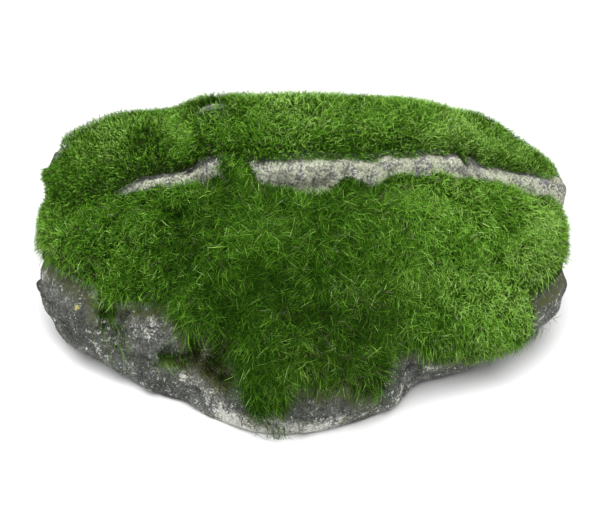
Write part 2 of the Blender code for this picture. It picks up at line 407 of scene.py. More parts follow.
def leaning(directions):
    """The directions turned about X by the crown's lean."""
    c, s = math.cos(math.radians(CROWN_TILT)), math.sin(math.radians(CROWN_TILT))
    x, y, z = directions.T
    return np.stack((x, y * c - z * s, y * s + z * c), axis=1)


def angles(directions):
    """Azimuth = atan2(x, -y) and elevation = asin(z), in degrees."""
    azimuth = np.degrees(np.arctan2(directions[:, 0], -directions[:, 1]))
    return azimuth, np.degrees(np.arcsin(np.clip(directions[:, 2], -1, 1)))


def apart(directions, azimuth, elevation):
    """Angle from one direction to each of the others, in degrees."""
    return np.degrees(np.arccos(np.clip(directions @ unit(azimuth, elevation), -1, 1)))


def smooth_step(x):
    """3x^2 - 2x^3, held at 0 below 0 and at 1 above 1."""
    x = np.clip(x, 0, 1)
    return x * x * (3 - 2 * x)


def round_the_stone(azimuth, points, column):
    """A column of a list of points round the stone, at any azimuth, with eased bends between the
    points."""
    at = np.array([p[0] for p in points], float)
    values = np.array([p[column] for p in points], float)
    at = np.concatenate((at[-1:] - 360, at, at[:1] + 360))
    values = np.concatenate((values[-1:], values, values[:1]))
    place = np.clip(np.searchsorted(at, azimuth, side="right") - 1, 0, len(at) - 2)
    share = smooth_step((azimuth - at[place]) / (at[place + 1] - at[place]))
    return values[place] * (1 - share) + values[place + 1] * share


def cell_value(cell, seed):
    """A scrambled value from -1 to 1 for each whole-numbered cell."""
    key = cell @ np.array((73856093, 19349663, 83492791)) + seed * 2654435761
    key = (key ^ (key >> 13)) * 1274126177 & 0x7FFFFFFF
    key = (key ^ (key >> 15)) * 2246822519 & 0x7FFFFFFF
    return (key ^ (key >> 11)) % 65536 / 32767.5 - 1


def lattice_noise(points, size, seed):
    """Smooth noise from -1 to 1: a scrambled value at each corner of cubes this size across,
    blended between."""
    scaled = points / size
    cell = np.floor(scaled).astype(np.int64)
    share = scaled - np.floor(scaled)
    share = share**3 * (share * (share * 6 - 15) + 10)
    total = np.zeros(len(points))
    for corner in np.ndindex(2, 2, 2):
        value = cell_value(cell + np.array(corner), seed)
        total += value * np.prod(np.where(corner, share, 1 - share), axis=1)
    return total


def to_tuft(points, size, seed):
    """From each point to the jittered middle of the cube that it lies in, in units of the cube's
    size."""
    cell = np.floor(points / size).astype(np.int64)
    jitter = np.stack([cell_value(cell, seed + k) for k in range(3)], axis=1)
    return cell + 0.5 + 0.3 * jitter - points / size


def faceted(directions, facets):
    """Soft minimum of the distances to the facets' planes: (sum of (d.n / distance)^k)^(-1/k)."""
    total = np.zeros(len(directions))
    for azimuth, elevation, distance in facets:
        share = np.clip(directions @ unit(azimuth, elevation), 0, None) / distance
        total += share**EDGE_SHARPNESS
    return total ** (-1 / EDGE_SHARPNESS)


def sound_radius(directions):
    """The stone before it weathered: soft maximum of body and crown, plus its rounded swellings."""
    body = faceted(directions, BODY_FACETS)
    crown = faceted(directions, CROWN_FACETS)
    radius = (body**EDGE_SHARPNESS + crown**EDGE_SHARPNESS) ** (1 / EDGE_SHARPNESS)
    for azimuth, elevation, reach, height in SWELLINGS:
        radius += height * np.exp(-((apart(directions, azimuth, elevation) / reach) ** 2))
    return radius


def broken_facets():
    """A plane for each seeded chip, set below the farthest point that the stone reaches in its
    direction."""
    seeded = np.random.default_rng(CHIP_SEED)
    azimuth = seeded.uniform(-180, 180, CHIPS)
    elevation = seeded.uniform(LOWEST_CHIP, 80, CHIPS)
    depth = seeded.uniform(*CHIP_DEPTH, CHIPS)
    count = np.arange(4000)
    height = 1 - (2 * count + 1) / len(count)
    ring = np.sqrt(1 - height**2)
    turn = math.pi * (3 - math.sqrt(5)) * count
    samples = np.stack((ring * np.cos(turn), ring * np.sin(turn), height), axis=1)
    surface = samples * sound_radius(samples)[:, None]
    return [(a, e, (surface @ unit(a, e)).max() * (1 - d)) for a, e, d in zip(azimuth, elevation, depth)]


BROKEN = broken_facets()


def stepped_radius(directions):
    """Soft minimum of the sound stone and its chips, standing out a little above the ledge."""
    radius = sound_radius(directions)
    broken = faceted(directions, BROKEN)
    radius = (radius**-EDGE_SHARPNESS + broken**-EDGE_SHARPNESS) ** (-1 / EDGE_SHARPNESS)
    azimuth, elevation = angles(leaning(directions))
    above = elevation - round_the_stone(azimuth, LEDGE, 1)
    return radius + LEDGE_RISE * smooth_step(above / LEDGE_WIDTH + 0.5)


def bedding(points):
    """A sawtooth across the beds, bent by noise, that falls sharply at each joint."""
    across = points @ unit(*BEDDING_TILT) + 0.012 * lattice_noise(points, 0.07, 5)
    share = np.mod(across / BED_THICKNESS, 1)
    strength = np.clip(0.2 + 1.4 * lattice_noise(points, 0.050, 6), 0, 1)
    return BED_STEP * strength * (share - smooth_step((share - 0.85) / 0.15) - 0.45)


def off_the_ledge(directions, radius):
    """Distance along the stone above the bare ledge, and the same below it. Both are negative on
    the ledge."""
    azimuth, elevation = angles(leaning(directions))
    above = np.radians(elevation - round_the_stone(azimuth, LEDGE, 1)) * radius
    bare = round_the_stone(azimuth, LEDGE, 2)
    return above - bare, -above - bare


def off_the_spots(directions, radius):
    """Distance along the stone to the rim of the nearest bare spot, negative inside it."""
    rims = [apart(directions, azimuth, elevation) - size for azimuth, elevation, size in BARE_SPOTS]
    return np.radians(np.min(rims, axis=0)) * radius


def edge_share(inside, rounding):
    """From 0 at a mat's edge to 1 at this distance in, as a quarter of an ellipse."""
    share = np.clip(inside / rounding, 0, 1)
    return np.sqrt(share * (2 - share))


def patches(directions, listed):
    """Sum of bell curves, amount x exp(-(angle / reach)^2), one for each patch."""
    total = np.zeros(len(directions))
    for azimuth, elevation, reach, amount in listed:
        total += amount * np.exp(-((apart(directions, azimuth, elevation) / reach) ** 2))
    return total


def fields(directions):
    """The stone, its mats and how far each point is inside them, for an array of directions. stone
    = stepped form + lumps and beds. mat = stone + (full depth and mounds) x the share left by its
    edges."""
    stepped = stepped_radius(directions)
    points = directions * stepped[:, None]
    relief = bedding(points)
    for size, lump, seed in LUMPS:
        relief = relief + lump * lattice_noise(points, size, seed)
    fade = smooth_step((points[:, 2] + CORE[2]) / FADE_HEIGHT)
    stone = stepped + relief * fade
    above, below = off_the_ledge(directions, stepped)
    azimuth, elevation = angles(directions)
    over_hem = np.radians(elevation - round_the_stone(azimuth, HEM, 1)) * stepped
    in_crown = np.minimum(above, off_the_spots(directions, stepped))
    in_flank = np.minimum(below, over_hem)
    full = stepped + MOSS_DEPTH + MOUND_HEIGHT * lattice_noise(points, MOUND_SIZE, 4)
    crown = np.where(in_crown > 0, (full - stone) * edge_share(in_crown, CROWN_ROUNDING), 0)
    share = edge_share(below, FLANK_ROUNDING) * edge_share(over_hem, HEM_ROUNDING)
    flank = np.where(in_flank > 0, (full - stone) * share, 0)
    return {
        "stepped": stepped,
        "stone": stone,
        "fade": fade,
        "above": above,
        "below": below,
        "over_hem": over_hem,
        "in_crown": in_crown,
        "in_flank": in_flank,
        "crown_depth": crown,
        "flank_depth": flank,
    }


# -------- grids and meshes
def sphere_grid(columns, rows):
    """Directions of a closed grid, rows of columns from the bottom up and then the two poles.
    Columns crowd to the front and rows to the waist: azimuth = t - 17 sin t, elevation = s - 10 sin
    2s, in degrees."""
    t = np.linspace(-180, 180, columns, endpoint=False)
    s = np.linspace(-90, 90, rows + 2)[1:-1]
    azimuth = np.radians(t - 17 * np.sin(np.radians(t)))
    elevation = np.radians(s - 10 * np.sin(np.radians(2 * s)))
    azimuth, elevation = np.meshgrid(azimuth, elevation)
    level = np.cos(elevation)
    rings = np.stack((np.sin(azimuth) * level, -np.cos(azimuth) * level, np.sin(elevation)), axis=-1)
    return np.concatenate((rings.reshape(-1, 3), ((0, 0, -1), (0, 0, 1))))


def closed_faces(columns, rows):
    """Corners, face sizes and chart places of such a grid: quads between rows and triangles to the
    poles."""
    row, column = np.meshgrid(np.arange(rows - 1), np.arange(columns), indexing="ij")
    row, column = row.ravel(), column.ravel()
    after = (column + 1) % columns
    here, above = row * columns, (row + 1) * columns
    quads = np.stack((here + column, here + after, above + after, above + column), axis=1)
    u0, u1 = column / columns, (column + 1) / columns
    v0, v1 = (row + 1) / (rows + 1), (row + 2) / (rows + 1)
    quad_chart = np.stack((u0, v0, u1, v0, u1, v1, u0, v1), axis=1).reshape(-1, 2)
    c = np.arange(columns)
    after = (c + 1) % columns
    bottom, top, last = rows * columns, rows * columns + 1, (rows - 1) * columns
    low = np.stack((after, c, np.full(columns, bottom)), axis=1)
    high = np.stack((last + c, last + after, np.full(columns, top)), axis=1)
    u0, um, u1 = c / columns, (c + 0.5) / columns, (c + 1) / columns
    edge = np.full(columns, 1 / (rows + 1))
    low_chart = np.stack((u1, edge, u0, edge, um, edge * 0), axis=1).reshape(-1, 2)
    high_chart = np.stack((u0, 1 - edge, u1, 1 - edge, um, edge * 0 + 1), axis=1).reshape(-1, 2)
    corners = np.concatenate((quads.ravel(), low.ravel(), high.ravel()))
    sizes = np.concatenate((np.full(len(quads), 4), np.full(2 * columns, 3)))
    return corners, sizes, np.concatenate((quad_chart, low_chart, high_chart))


def new_piece(name, places, corners, sizes, chart, finish, node, slot):
    """A smooth mesh object at the origin that rides on the stone's body and stands for its CAD
    node."""
    mesh = bpy.data.meshes.new(name)
    mesh.vertices.add(len(places))
    mesh.vertices.foreach_set("co", np.ascontiguousarray(places, np.float32).ravel())
    mesh.loops.add(len(corners))
    mesh.loops.foreach_set("vertex_index", corners.astype(np.int32))
    mesh.polygons.add(len(sizes))
    mesh.polygons.foreach_set("loop_start", (np.cumsum(sizes) - sizes).astype(np.int32))
    mesh.polygons.foreach_set("loop_total", sizes.astype(np.int32))
    mesh.update(calc_edges=True)
    mesh.polygons.foreach_set("use_smooth", np.ones(len(sizes), bool))
    mesh.uv_layers.new(name="OFBake").data.foreach_set("uv", chart.astype(np.float32).ravel())
    mesh.materials.append(finish)
    piece = bpy.data.objects.new(name, mesh)
    bpy.context.scene.collection.objects.link(piece)
    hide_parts(node)
    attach(piece, "root")
    return piece


def placed(directions, radius):
    """Points at these distances from the core, flattened where they would reach below the resting
    face."""
    places = CORE + SHIFT + directions * radius[:, None]
    places[:, 2] = np.maximum(places[:, 2], 0)
    return places


def blurred(values, columns, rows, reach):
    """Mean over a square of grid neighbours, wrapped round the columns."""
    grid = values[: rows * columns].reshape(rows, columns)
    total = sum(np.roll(grid, k, axis=1) for k in range(-reach, reach + 1)) / (2 * reach + 1)
    padded = np.pad(total, ((reach, reach), (0, 0)), mode="edge")
    total = sum(padded[k : k + rows] for k in range(2 * reach + 1)) / (2 * reach + 1)
    return np.concatenate((total.ravel(), values[rows * columns :]))


# -------- finishes
class Mixer:
    """Adds shader nodes to one finish and links them as they are named."""

    def __init__(self, name, roughness, specular):
        self.finish = bpy.data.materials.new(name)
        self.finish.use_nodes = True
        self.tree = self.finish.node_tree
        self.shader = self.tree.nodes["Principled BSDF"]
        self.shader.inputs["Roughness"].default_value = roughness
        self.shader.inputs["Specular IOR Level"].default_value = specular

    def add(self, kind, inputs=(), **settings):
        node = self.tree.nodes.new(kind)
        for key, value in settings.items():
            setattr(node, key, value)
        for key, value in dict(inputs).items():
            self.put(node.inputs[key], value)
        return node

    def put(self, socket, value):
        if isinstance(value, bpy.types.NodeSocket):
            self.tree.links.new(value, socket)
        elif isinstance(value, tuple) and socket.type == "RGBA":
            socket.default_value = (*value, 1)
        else:
            socket.default_value = value

    def place(self):
        return self.add("ShaderNodeTexCoord").outputs["Object"]

    def noise(self, size, detail, rough, offset=0.0):
        """Fractal noise whose largest lumps are this size across, moved off by the offset."""
        away = (offset, offset * 0.7, -offset)
        moved = self.add("ShaderNodeMapping", {"Vector": self.place(), "Location": away})
        grain = {"Scale": 1 / size, "Detail": detail, "Roughness": rough}
        made = self.add("ShaderNodeTexNoise", {"Vector": moved.outputs[0], **grain})
        return made.outputs["Fac"]

    def ease(self, value, low, high):
        """0 below low to 1 above high, eased. A low above high turns it round."""
        made = self.add(
            "ShaderNodeMapRange",
            {"Value": value, "From Min": low, "From Max": high},
            interpolation_type="SMOOTHSTEP",
        )
        return made.outputs["Result"]

    def sum(self, operation, a, b):
        made = self.add("ShaderNodeMath", operation=operation)
        self.put(made.inputs[0], a)
        self.put(made.inputs[1], b)
        return made.outputs[0]

    def blend(self, share, a, b, how="MIX"):
        made = self.add("ShaderNodeMix", data_type="RGBA", blend_type=how, clamp_result=True)
        self.put(made.inputs["Factor"], share)
        self.put(made.inputs[6], a)
        self.put(made.inputs[7], b)
        return made.outputs[2]

    def ramp(self, value, stops):
        made = self.add("ShaderNodeValToRGB", {"Fac": value})
        elements = made.color_ramp.elements
        elements[0].position, elements[0].color = stops[0][0], (*stops[0][1], 1)
        elements[1].position, elements[1].color = stops[-1][0], (*stops[-1][1], 1)
        for at, colour in stops[1:-1]:
            elements.new(at).color = (*colour, 1)
        return made.outputs["Color"]

    def bump(self, height, depth, strength):
        made = self.add("ShaderNodeBump", {"Height": height, "Distance": depth, "Strength": strength})
        self.tree.links.new(made.outputs["Normal"], self.shader.inputs["Normal"])

    def colour(self, value):
        self.put(self.shader.inputs["Base Color"], value)
        return self.finish


def weathered_stone():
    """Slate grey rock, crusted with pale lichen where the attribute's red says so, with painted shade
    in the hollows where its green does, stained by moss where its blue does and yellow where its
    alpha does. The crust is lighter low down, as painted light thrown up by the floor."""
    m = Mixer("weathered_stone", 0.86, 0.25)
    weather_and_shade = m.add("ShaderNodeAttribute", attribute_name="weather_and_shade")
    parts = m.add("ShaderNodeSeparateColor", {"Color": weather_and_shade.outputs["Color"]})
    lichen, painted_hollow_shade, stain = parts.outputs
    broad = m.noise(0.026, 9, 0.70)
    grain = m.noise(0.0015, 4, 0.8, 3)
    rock = m.ramp(
        broad,
        ((0.32, (0.030, 0.034, 0.031)), (0.50, (0.080, 0.085, 0.074)), (0.68, (0.185, 0.190, 0.175))),
    )
    violet = m.ease(m.noise(0.009, 5, 0.65, 7), 0.44, 0.60)
    pale_rock = m.blend(violet, (0.215, 0.225, 0.170), (0.160, 0.152, 0.165))
    rock = m.blend(m.ease(lichen, 0.15, 0.75), rock, pale_rock)
    peppered = m.ramp(
        grain,
        ((0.30, (0.12, 0.12, 0.12)), (0.50, (0.88, 0.88, 0.88)), (0.70, (2.6, 2.6, 2.6))),
    )
    rock = m.blend(1.0, rock, peppered, "MULTIPLY")
    ragged = m.sum("ADD", m.noise(0.0060, 8, 0.70, 11), m.sum("MULTIPLY", grain, 0.55))
    crust = m.ease(m.sum("ADD", ragged, m.sum("MULTIPLY", lichen, 0.17)), 0.89, 0.97)
    height = m.add("ShaderNodeSeparateXYZ", {"Vector": m.place()}).outputs["Z"]
    # Painted light: the real lichen crust is made lighter below 5 cm, standing in for light thrown up by
    # the floor.
    crust_tone_and_floor_light = m.blend(
        m.ease(height, 0.05, 0.09),
        m.ramp(grain, ((0.30, (0.26, 0.27, 0.23)), (0.50, (0.52, 0.53, 0.48)), (0.70, (0.90, 0.91, 0.87)))),
        m.ramp(grain, ((0.30, (0.17, 0.19, 0.12)), (0.50, (0.36, 0.38, 0.27)), (0.70, (0.68, 0.70, 0.58)))),
    )
    rock = m.blend(m.sum("MULTIPLY", crust, 0.85), rock, crust_tone_and_floor_light)
    specks = m.ease(m.noise(0.0024, 3, 0.6, 17), 0.635, 0.69)
    rock = m.blend(specks, rock, (0.62, 0.63, 0.56))
    yellow = m.sum("MULTIPLY", weather_and_shade.outputs["Alpha"], 0.3)
    yellow = m.ease(m.sum("ADD", m.noise(0.005, 5, 0.65, 23), yellow), 0.72, 0.78)
    rock = m.blend(yellow, rock, (0.40, 0.38, 0.14))
    damp = m.sum("MULTIPLY", stain, m.ease(m.noise(0.006, 5, 0.7, 29), 0.32, 0.60))
    rock = m.blend(damp, rock, (0.075, 0.085, 0.030))
    # Painted shade: the hollows that the attribute's green marks are darkened to a third.
    rock = m.blend(painted_hollow_shade, rock, m.blend(1.0, rock, (0.30, 0.30, 0.28), "MULTIPLY"))
    relief = m.sum("ADD", m.noise(0.0040, 8, 0.75, 31), m.sum("MULTIPLY", grain, 0.6))
    m.bump(relief, 0.0016, 1.0)
    return m.colour(rock)


def moss_bed():
    """Dead stems and litter between the strands: dark green to brown, in lumps a few millimetres
    across, kept near black as painted shade of the mat's depths."""
    m = Mixer("moss_bed", 0.95, 0.1)
    tone = m.ramp(
        m.noise(0.005, 8, 0.75, 2),
        ((0.30, (0.008, 0.012, 0.004)), (0.50, (0.022, 0.034, 0.008)), (0.70, (0.050, 0.060, 0.018))),
    )
    m.bump(m.noise(0.0018, 6, 0.8, 5), 0.0016, 1.0)
    return m.colour(tone)


def moss_strand():
    """Strand colour from its own chart: tint across (brown, olive, deep green, yellow green, straw)
    and root to tip upwards, from near black roots, painted shade inside the mat, to whitened bluish
    tips, a painted highlight."""
    m = Mixer("moss_strand", 0.7, 0.05)
    chart = m.add("ShaderNodeUVMap", uv_map="OFBake")
    across = m.add("ShaderNodeSeparateXYZ", {"Vector": chart.outputs["UV"]})
    tint = m.ramp(
        across.outputs["X"],
        (
            (0.00, (0.120, 0.085, 0.045)),
            (0.08, (0.170, 0.148, 0.070)),
            (0.16, (0.095, 0.120, 0.016)),
            (0.34, (0.050, 0.185, 0.002)),
            (0.58, (0.180, 0.400, 0.022)),
            (0.80, (0.360, 0.620, 0.080)),
            (1.00, (0.620, 0.780, 0.260)),
        ),
    )
    # Painted shade and highlight: near black at the roots, white and bluish past three quarters up.
    light = m.ramp(
        across.outputs["Y"],
        (
            (0.00, (0.014, 0.045, 0.006)),
            (0.35, (0.225, 0.295, 0.150)),
            (0.75, (1.0, 1.0, 1.7)),
            (1.00, (2.15, 1.95, 4.0)),
        ),
    )
    return m.colour(m.blend(1.0, tint, light, "MULTIPLY"))


# -------- the stone and the beds
def slabs(directions, radius):
    """Split slab edges: a step of this drop across a line through each slab's middle, wavering by
    noise and fading out with distance, drop x (smooth step - 1/2) x exp(-(angle / reach)^2)."""
    total = np.zeros(len(directions))
    points = directions * radius[:, None]
    waver = 0.0035 * lattice_noise(points, 0.018, 41) + 0.0012 * lattice_noise(points, 0.006, 42)
    for azimuth, elevation, reach, turn, drop in SLABS:
        middle = unit(azimuth, elevation)
        east = unit(azimuth + 90, 0)
        north = np.cross(middle, -east)
        line = math.cos(math.radians(turn)) * east + math.sin(math.radians(turn)) * north
        across = (points @ line) + waver
        away = apart(directions, azimuth, elevation)
        fade = np.exp(-((away / reach) ** 2))
        total += drop * (0.5 - smooth_step(across / 0.0016 + 0.5)) * fade
        total -= 0.35 * drop * np.exp(-((across / 0.0011) ** 2)) * fade
    return total


def split_faces(points, size, seed):
    """Broken facets. Each point leans with the nearest of the jittered middles of cubes this size
    across: height = tilt . (point - middle), mixed where two meet in proportion to exp(-30 x
    squared distance)."""
    scaled = points / size
    cell = np.floor(scaled).astype(np.int64)
    total, weight = np.zeros(len(points)), np.zeros(len(points))
    for step in np.ndindex(3, 3, 3):
        near = cell + np.array(step) - 1
        middle = near + 0.5 + 0.35 * np.stack([cell_value(near, seed + k) for k in range(3)], axis=1)
        tilt = np.stack([cell_value(near, seed + 3 + k) for k in range(3)], axis=1)
        away = scaled - middle
        share = np.exp(-30 * np.sum(away**2, axis=1))
        total += share * np.sum(tilt * away, axis=1)
        weight += share
    return total / weight


def weathered_radius(directions, field):
    """Distance to the bare stone: that of the fields + slabs and fine lumps + broken faces below
    the hem."""
    stone = field["stone"]
    points = directions * stone[:, None]
    fine = slabs(directions, stone)
    for size, lump, seed in FINE_LUMPS:
        fine = fine + lump * lattice_noise(points, size, seed)
    below_hem = smooth_step(0.4 - field["over_hem"] / 0.008)
    for size, step, seed in BROKEN_FACES:
        fine = fine + step * below_hem * split_faces(points, size, seed)
    return stone + (fine + patches(directions, STONE_PATCHES)) * field["fade"]


def build_stone(finish):
    """The weathered stone on a grid of azimuth by elevation, with its lichen, painted shade in the
    hollows and stains as an attribute."""
    columns, rows = STONE_GRID
    directions = sphere_grid(columns, rows)
    field = fields(directions)
    radius = weathered_radius(directions, field)
    points = directions * field["stone"][:, None]
    piece = new_piece(
        "bare_stone", placed(directions, radius), *closed_faces(columns, rows), finish, "stone", "stone"
    )
    # Painted shade: darker where the stone lies below its blurred surroundings, in hollows and cracks.
    painted_hollow_shade = 0.8 * smooth_step((blurred(radius, columns, rows, 3) - radius) / 0.0014)
    ledge_middle = np.minimum(-field["above"], -field["below"])
    on_ledge = smooth_step(ledge_middle / 0.004 + 0.5)
    height = points[:, 2] + CORE[2]
    patchy = lattice_noise(points, 0.022, 51)
    azimuth = angles(directions)[0]
    low = 1.25 * smooth_step((0.024 - height) / 0.014 + 0.5 * patchy)
    low = low * smooth_step((azimuth + 38) / 16) * (0.25 + 0.75 * smooth_step((20 - azimuth) / 12))
    sprinkle = 0.4 * smooth_step((lattice_noise(points, 0.014, 52) - 0.25) / 0.5)
    lichen = np.maximum(on_ledge, np.maximum(low, sprinkle)) + patches(directions, LICHEN_PATCHES)
    lichen = np.clip(lichen, 0, 1.3)
    near = np.abs(field["over_hem"])
    stain = 0.9 * smooth_step(1 - near / 0.004) + 0.5 * smooth_step(1 - near / 0.012)
    near = np.minimum(np.abs(field["above"]), np.abs(field["below"]))
    stain += 0.35 * smooth_step(1 - near / 0.002)
    yellow = patches(directions, YELLOW_PATCHES)
    # Red lichen, green painted shade in the hollows, blue moss stain, alpha yellow lichen.
    weather_and_shade = np.stack((lichen, painted_hollow_shade, np.clip(stain, 0, 1), yellow), axis=1)
    attribute = piece.data.attributes.new("weather_and_shade", "FLOAT_COLOR", "POINT")
    attribute.data.foreach_set("color", weather_and_shade.astype(np.float32).ravel())


def crown_taper(above):
    """Share of its depth that the crown's moss has near the ledge: 0.35 + 0.65 x distance in /
    taper, up to 1."""
    return np.clip(0.35 + 0.65 * above / CROWN_TAPER, 0.35, 1)


def merged_depth(directions):
    """Depth that both mats keep where they meet over the ledge: depth x exp(-(angle / reach)^4)."""
    return MERGED[3] * np.exp(-((apart(directions, *MERGED[:2]) / MERGED[2]) ** 4))


def build_bed(name, grid, which, finish):
    """The mat's form at a share of its depth, sinking into the stone where no moss grows."""
    columns, rows = grid
    directions = sphere_grid(columns, rows)
    field = fields(directions)
    depth, inside = field[which + "_depth"], field["in_" + which] - BED_INSET
    if which == "crown":
        depth = depth * crown_taper(field["above"])
    merged = merged_depth(directions)
    depth, inside = np.maximum(depth, merged), inside + 2 * merged
    thin = np.clip(1 - patches(directions, THIN_PATCHES), 0, 1)
    points = directions * field["stone"][:, None]
    lumpy = BED_SHARE + 0.10 * lattice_noise(points, 0.006, 61)
    grown = depth * lumpy * thin - 0.0015 * (1 - thin)
    radius = field["stone"] + np.where(inside > 0, grown, np.clip(inside * 2, -DIP, 0))
    mesh = placed(directions, radius), *closed_faces(columns, rows)
    new_piece(name, *mesh, finish, which + "_moss", "moss")


# -------- strands
def field_grid():
    """The fields on a fine grid of azimuth by elevation, as arrays of rows by columns, with the
    points and the outward normals of the stepped form."""
    columns, rows = FIELD_GRID
    directions = sphere_grid(columns, rows)[: columns * rows]
    field = fields(directions)
    places = CORE + SHIFT + directions * field["stone"][:, None]
    smooth = (directions * field["stepped"][:, None]).reshape(rows, columns, 3)
    east = np.roll(smooth, -2, axis=1) - np.roll(smooth, 2, axis=1)
    north = np.gradient(smooth, axis=0)
    normal = np.cross(east, north)
    normal /= np.linalg.norm(normal, axis=2, keepdims=True)
    grid = {key: value.reshape(rows, columns) for key, value in field.items()}
    grid["directions"] = directions.reshape(rows, columns, 3)
    grid["places"] = places.reshape(rows, columns, 3)
    grid["normal"] = normal
    return grid


def scattered(grid, density, count, seed):
    """Points spread evenly over the stone: cells are drawn in proportion to area times density, and
    every grid array is blended bilinearly at a random place in the cell."""
    places = grid["places"]
    after = np.roll(places, -1, axis=1)
    east = (after - places)[:-1]
    north = places[1:] - places[:-1]
    area = np.linalg.norm(np.cross(east, north), axis=2)
    ends = np.cumsum((area * density[:-1]).ravel())
    seeded = np.random.default_rng(seed)
    drawn = (np.arange(count) + seeded.uniform(0, 1, count)) / count * ends[-1]
    row, column = np.divmod(np.searchsorted(ends, drawn), places.shape[1])
    row = np.minimum(row, places.shape[0] - 2)
    across, up = seeded.uniform(0, 1, count), seeded.uniform(0, 1, count)
    right = (column + 1) % places.shape[1]
    found = {}
    for key, values in grid.items():
        a, u = (across[:, None], up[:, None]) if values.ndim == 3 else (across, up)
        low = values[row, column] * (1 - a) + values[row, right] * a
        high = values[row + 1, column] * (1 - a) + values[row + 1, right] * a
        found[key] = low * (1 - u) + high * u
    return found, seeded


def unitised(vectors):
    return vectors / (np.linalg.norm(vectors, axis=1, keepdims=True) + 1e-12)


def vector_noise(points, size, seed):
    return np.stack([lattice_noise(points, size, seed + k) for k in range(3)], axis=1)


def strand_paths(found, seeded, depth, length, near_hem, bends):
    """Stations along each strand, root to tip. Path: root + normal x rise x sin(quarter turn x t) +
    comb x run x t^1.3 + side x curl x t^2 - upright x droop x t^2. Comb runs downhill with eddies
    in it, side is square to it, and rise keeps the tip in the mat."""
    normal = unitised(found["normal"])
    count = len(depth)
    points = found["places"]
    top = found["top"]
    down = np.array((0, 0, -1.0)) - normal * -normal[:, 2:3]
    slope = np.linalg.norm(down, axis=1, keepdims=True)
    comb = down * (0.40 + 0.8 * near_hem[:, None])
    comb += 0.60 * vector_noise(points, 0.024, 71) + 0.45 * vector_noise(points, 0.0095, 81)
    comb += 0.7 * to_tuft(points, TUFT_SIZE, 75)
    comb += 0.75 * seeded.normal(0, 1, (count, 3)) * (1 - 0.45 * near_hem[:, None])
    comb = unitised(comb - normal * np.sum(comb * normal, axis=1, keepdims=True))
    side = np.cross(comb, normal)
    start = depth * seeded.uniform(0.22, 0.60, count)
    reach = depth * np.minimum(seeded.normal(0.88, 0.14, count) + 0.10 * top, 1.22) * (1 - 0.35 * near_hem)
    reach += 0.0007
    rise = np.clip(reach - start, 0.0006, length * 0.9)
    run = np.sqrt(np.maximum(length**2 - rise**2, (0.25 * length) ** 2))
    droop = length * (0.10 + 0.30 * near_hem) * slope[:, 0] * seeded.uniform(0.4, 1.2, count)
    curl = CURL * length * seeded.normal(0, 1, count)
    root = points + normal * start[:, None]
    stations = []
    for t in np.linspace(0, 1, bends + 2):
        lift = rise * math.sin(math.pi / 2 * t)
        station = root + normal * lift[:, None] + comb * (run * t**1.3)[:, None]
        station += side * (curl * t**2)[:, None]
        station[:, 2] = np.maximum(station[:, 2] - droop * t**2, 0.0008)
        stations.append(station)
    return stations, side


def ribbon_mesh(stations, side, width, tint, tone, seeded):
    """Each strand as a ribbon of quads that ends in a triangle: half widths from 1 at the root to 0
    at the tip, set across the path and rolled at random by up to 55 degrees. Its chart runs up a
    narrow strip at its tint."""
    count, last = len(width), len(stations) - 1
    heading = unitised(stations[-1] - stations[0])
    roll = np.radians(seeded.uniform(-55, 55, count))[:, None]
    half = (side * np.cos(roll) + np.cross(heading, side) * np.sin(roll)) * width[:, None] / 2
    places, rows = [], []
    for k in range(last):
        taper = 1 - 0.3 * k / last
        places += [stations[k] - half * taper, stations[k] + half * taper]
        quad = (2 * k, 2 * k + 1, 2 * k + 3, 2 * k + 2)
        rows.append(quad if k < last - 1 else quad[:2] + quad[3:])
    places = np.stack((*places, stations[-1]), axis=1).reshape(-1, 3)
    corners = (np.arange(count)[:, None] * (2 * last + 1) + np.concatenate(rows)).ravel()
    sizes = np.tile([len(row) for row in rows], count)
    u = np.stack([tint - 0.001, tint + 0.001] * last + [tint], axis=1)
    v = np.stack([tone * (k // 2) / last for k in range(2 * last)] + [tone], axis=1)
    order = np.concatenate(rows)
    chart = np.stack((u[:, order], v[:, order]), axis=-1).reshape(-1, 2)
    return places, corners, sizes, chart


def strand_looks(found, seeded, count, tones, dead_share):
    """Tint and tone of each strand. Tone = that of its layer (painted shade below, light on top) x (1 +
    patches of painted light and shade and eddies of noise) x a spread of its own, lower between the
    tufts as painted shade in the gaps. Tint = the middle one + patches, some of them painted rim
    light, + noise + spread, or a brown or a straw one by chance."""
    directions = unitised(found["directions"])
    points = found["places"]
    change = patches(directions, LIGHT_AND_SHADE_PATCHES)
    change += 0.28 * lattice_noise(points, 0.022, 91) + 0.34 * lattice_noise(points, 0.009, 94)
    # Painted shade in the gaps: strands far from their tuft's middle are darker.
    change -= 0.80 * (np.linalg.norm(to_tuft(points, TUFT_SIZE, 75), axis=1) - 0.5)
    # The strands below sit low on the ramp as painted shade, those on top high as painted light.
    below = tones[0] + 0.42 * (tones[1] - tones[0]) * seeded.uniform(0, 1, count) ** 3
    tone = np.where(found["top"], tones[1], below) * np.clip(1 + change, 0.30, 2.6)
    tone = np.clip(tone * np.exp(seeded.normal(0, TONE_SPREAD, count)), 0.03, 1.0)
    tint = MIDDLE_TINT + patches(directions, TINT_AND_RIM_LIGHT_PATCHES)
    tint += 0.11 * lattice_noise(points, 0.030, 92) + 0.09 * lattice_noise(points, 0.008, 93)
    tint = tint + seeded.normal(0, TINT_SPREAD, count)
    pale = (seeded.uniform(0, 1, count) < PALE_SHARE) & found["top"]
    tint = np.where(pale, seeded.uniform(*PALE_TINTS, count), np.clip(tint, *LIVE_TINTS))
    dead = seeded.uniform(0, 1, count) < DEAD_SHARE + patches(directions, BROWN_PATCHES) + dead_share
    tint = np.where(dead, seeded.uniform(*DEAD_TINTS, count), tint)
    return tint, tone


